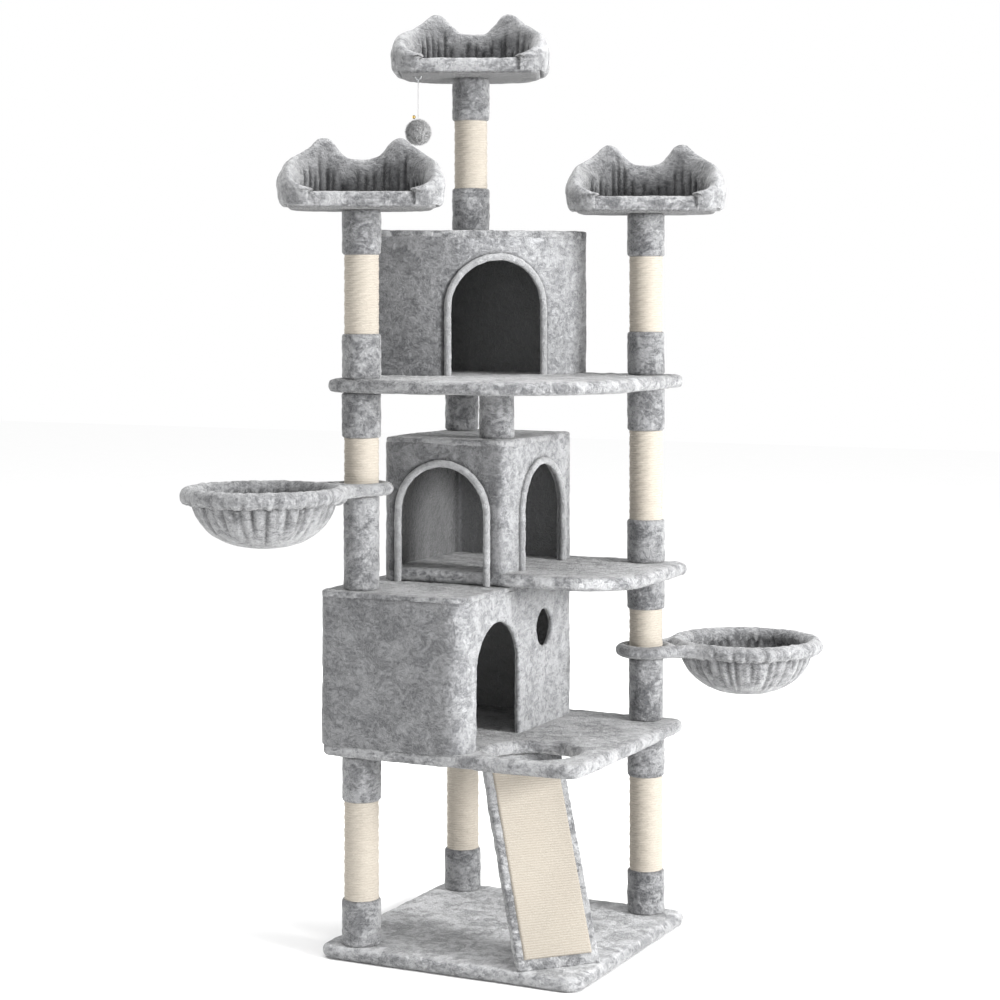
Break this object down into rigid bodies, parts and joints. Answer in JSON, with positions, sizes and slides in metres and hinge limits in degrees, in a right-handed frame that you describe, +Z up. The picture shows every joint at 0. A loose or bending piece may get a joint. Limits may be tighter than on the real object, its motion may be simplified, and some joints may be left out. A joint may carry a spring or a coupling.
{
  "type": "cat tree",
  "caption": "Tall plush and sisal cat tree with stacked platforms, arched houses, rimmed perches, swivelling bowl hammocks, a ramp and a hanging ball.",
  "frame": {"origin": "centre of the base's underside, on the ground", "axes": "+Z up, +X to the right along the front edge, +Y towards the back"},
  "size_m": [1.0331, 1.1913, 1.973],
  "materials": {
    "plush": "deep crushed plush",
    "cuff_plush": "short crushed plush",
    "bed_plush": "deep gathered plush",
    "ball_plush": "long fluffy plush",
    "piping": "turned plush edge",
    "sisal": "close-wound natural rope",
    "string": "twisted cord",
    "board": "raw particle board",
    "cardboard": "spiral-wound tube",
    "steel": "zinc plated",
    "brass": "polished"
  },
  "bodies": {
    "root": {"base_board": "board", "base_cover": "plush", "lower_board": "board", "lower_cover": "plush", "middle_board": "board", "middle_cover": "plush", "upper_board": "board", "upper_cover": "plush", "base_post_tubes": "cardboard", "middle_post_tubes": "cardboard", "short_post_tubes": "cardboard", "perch_post_tubes": "cardboard", "front_left_base_sisal": "sisal", "back_left_base_sisal": "sisal", "back_right_base_sisal": "sisal", "front_left_middle_sisal": "sisal", "back_right_lower_sisal": "sisal", "back_right_middle_sisal": "sisal", "left_perch_sisal": "sisal", "right_perch_sisal": "sisal", "top_perch_sisal": "sisal", "base_post_cuffs": "cuff_plush", "front_left_middle_cuffs": "cuff_plush", "back_right_lower_cuffs": "cuff_plush", "back_right_middle_cuffs": "cuff_plush", "short_post_sleeves": "cuff_plush", "left_perch_cuffs": "cuff_plush", "right_perch_cuffs": "cuff_plush", "top_perch_cuffs": "cuff_plush", "end_plugs": "board", "threaded_inserts": "steel", "joining_studs": "steel", "base_bolts": "steel", "base_washers": "steel", "platform_bolts": "steel", "lower_house_walls": "plush", "lower_house_roof": "plush", "middle_house_walls": "plush", "middle_house_roof": "plush", "upper_house_walls": "plush", "upper_house_roof": "plush", "middle_door_piping": "piping", "upper_door_piping": "piping", "left_perch_board": "plush", "left_perch_rim": "bed_plush", "right_perch_board": "plush", "right_perch_rim": "bed_plush", "top_perch_board": "plush", "top_perch_rim": "bed_plush", "ramp_board": "plush", "ramp_pad": "sisal", "toy_staple": "steel"},
    "left_hammock": {"left_hammock_frame": "steel", "left_hammock_sling": "bed_plush"},
    "right_hammock": {"right_hammock_frame": "steel", "right_hammock_sling": "bed_plush"},
    "toy_link": {"toy_ring": "steel"},
    "toy": {"toy_string": "string", "toy_ball": "ball_plush", "toy_bell": "brass"}
  },
  "joints": [
    {"name": "left_hammock_swivel", "type": "hinge", "parent": "root", "child": "left_hammock", "pos_m": [-0.215, -0.24, 0.956], "axis": [0, 0, 1], "range_deg": [-85, 100]},
    {"name": "right_hammock_swivel", "type": "hinge", "parent": "root", "child": "right_hammock", "pos_m": [0.215, 0.24, 0.589], "axis": [0, 0, 1], "range_deg": [-120, 75]},
    {"name": "toy_link_swing", "type": "hinge", "parent": "root", "child": "toy_link", "pos_m": [-0.21524, 0.00871, 1.812], "axis": [0.9063, 0.4226, 0], "range_deg": [-20, 20]},
    {"name": "toy_swing", "type": "hinge", "parent": "toy_link", "child": "toy", "pos_m": [-0.21524, 0.00871, 1.8043], "axis": [-0.4226, 0.9063, 0], "range_deg": [-20, 20]}
  ]
}
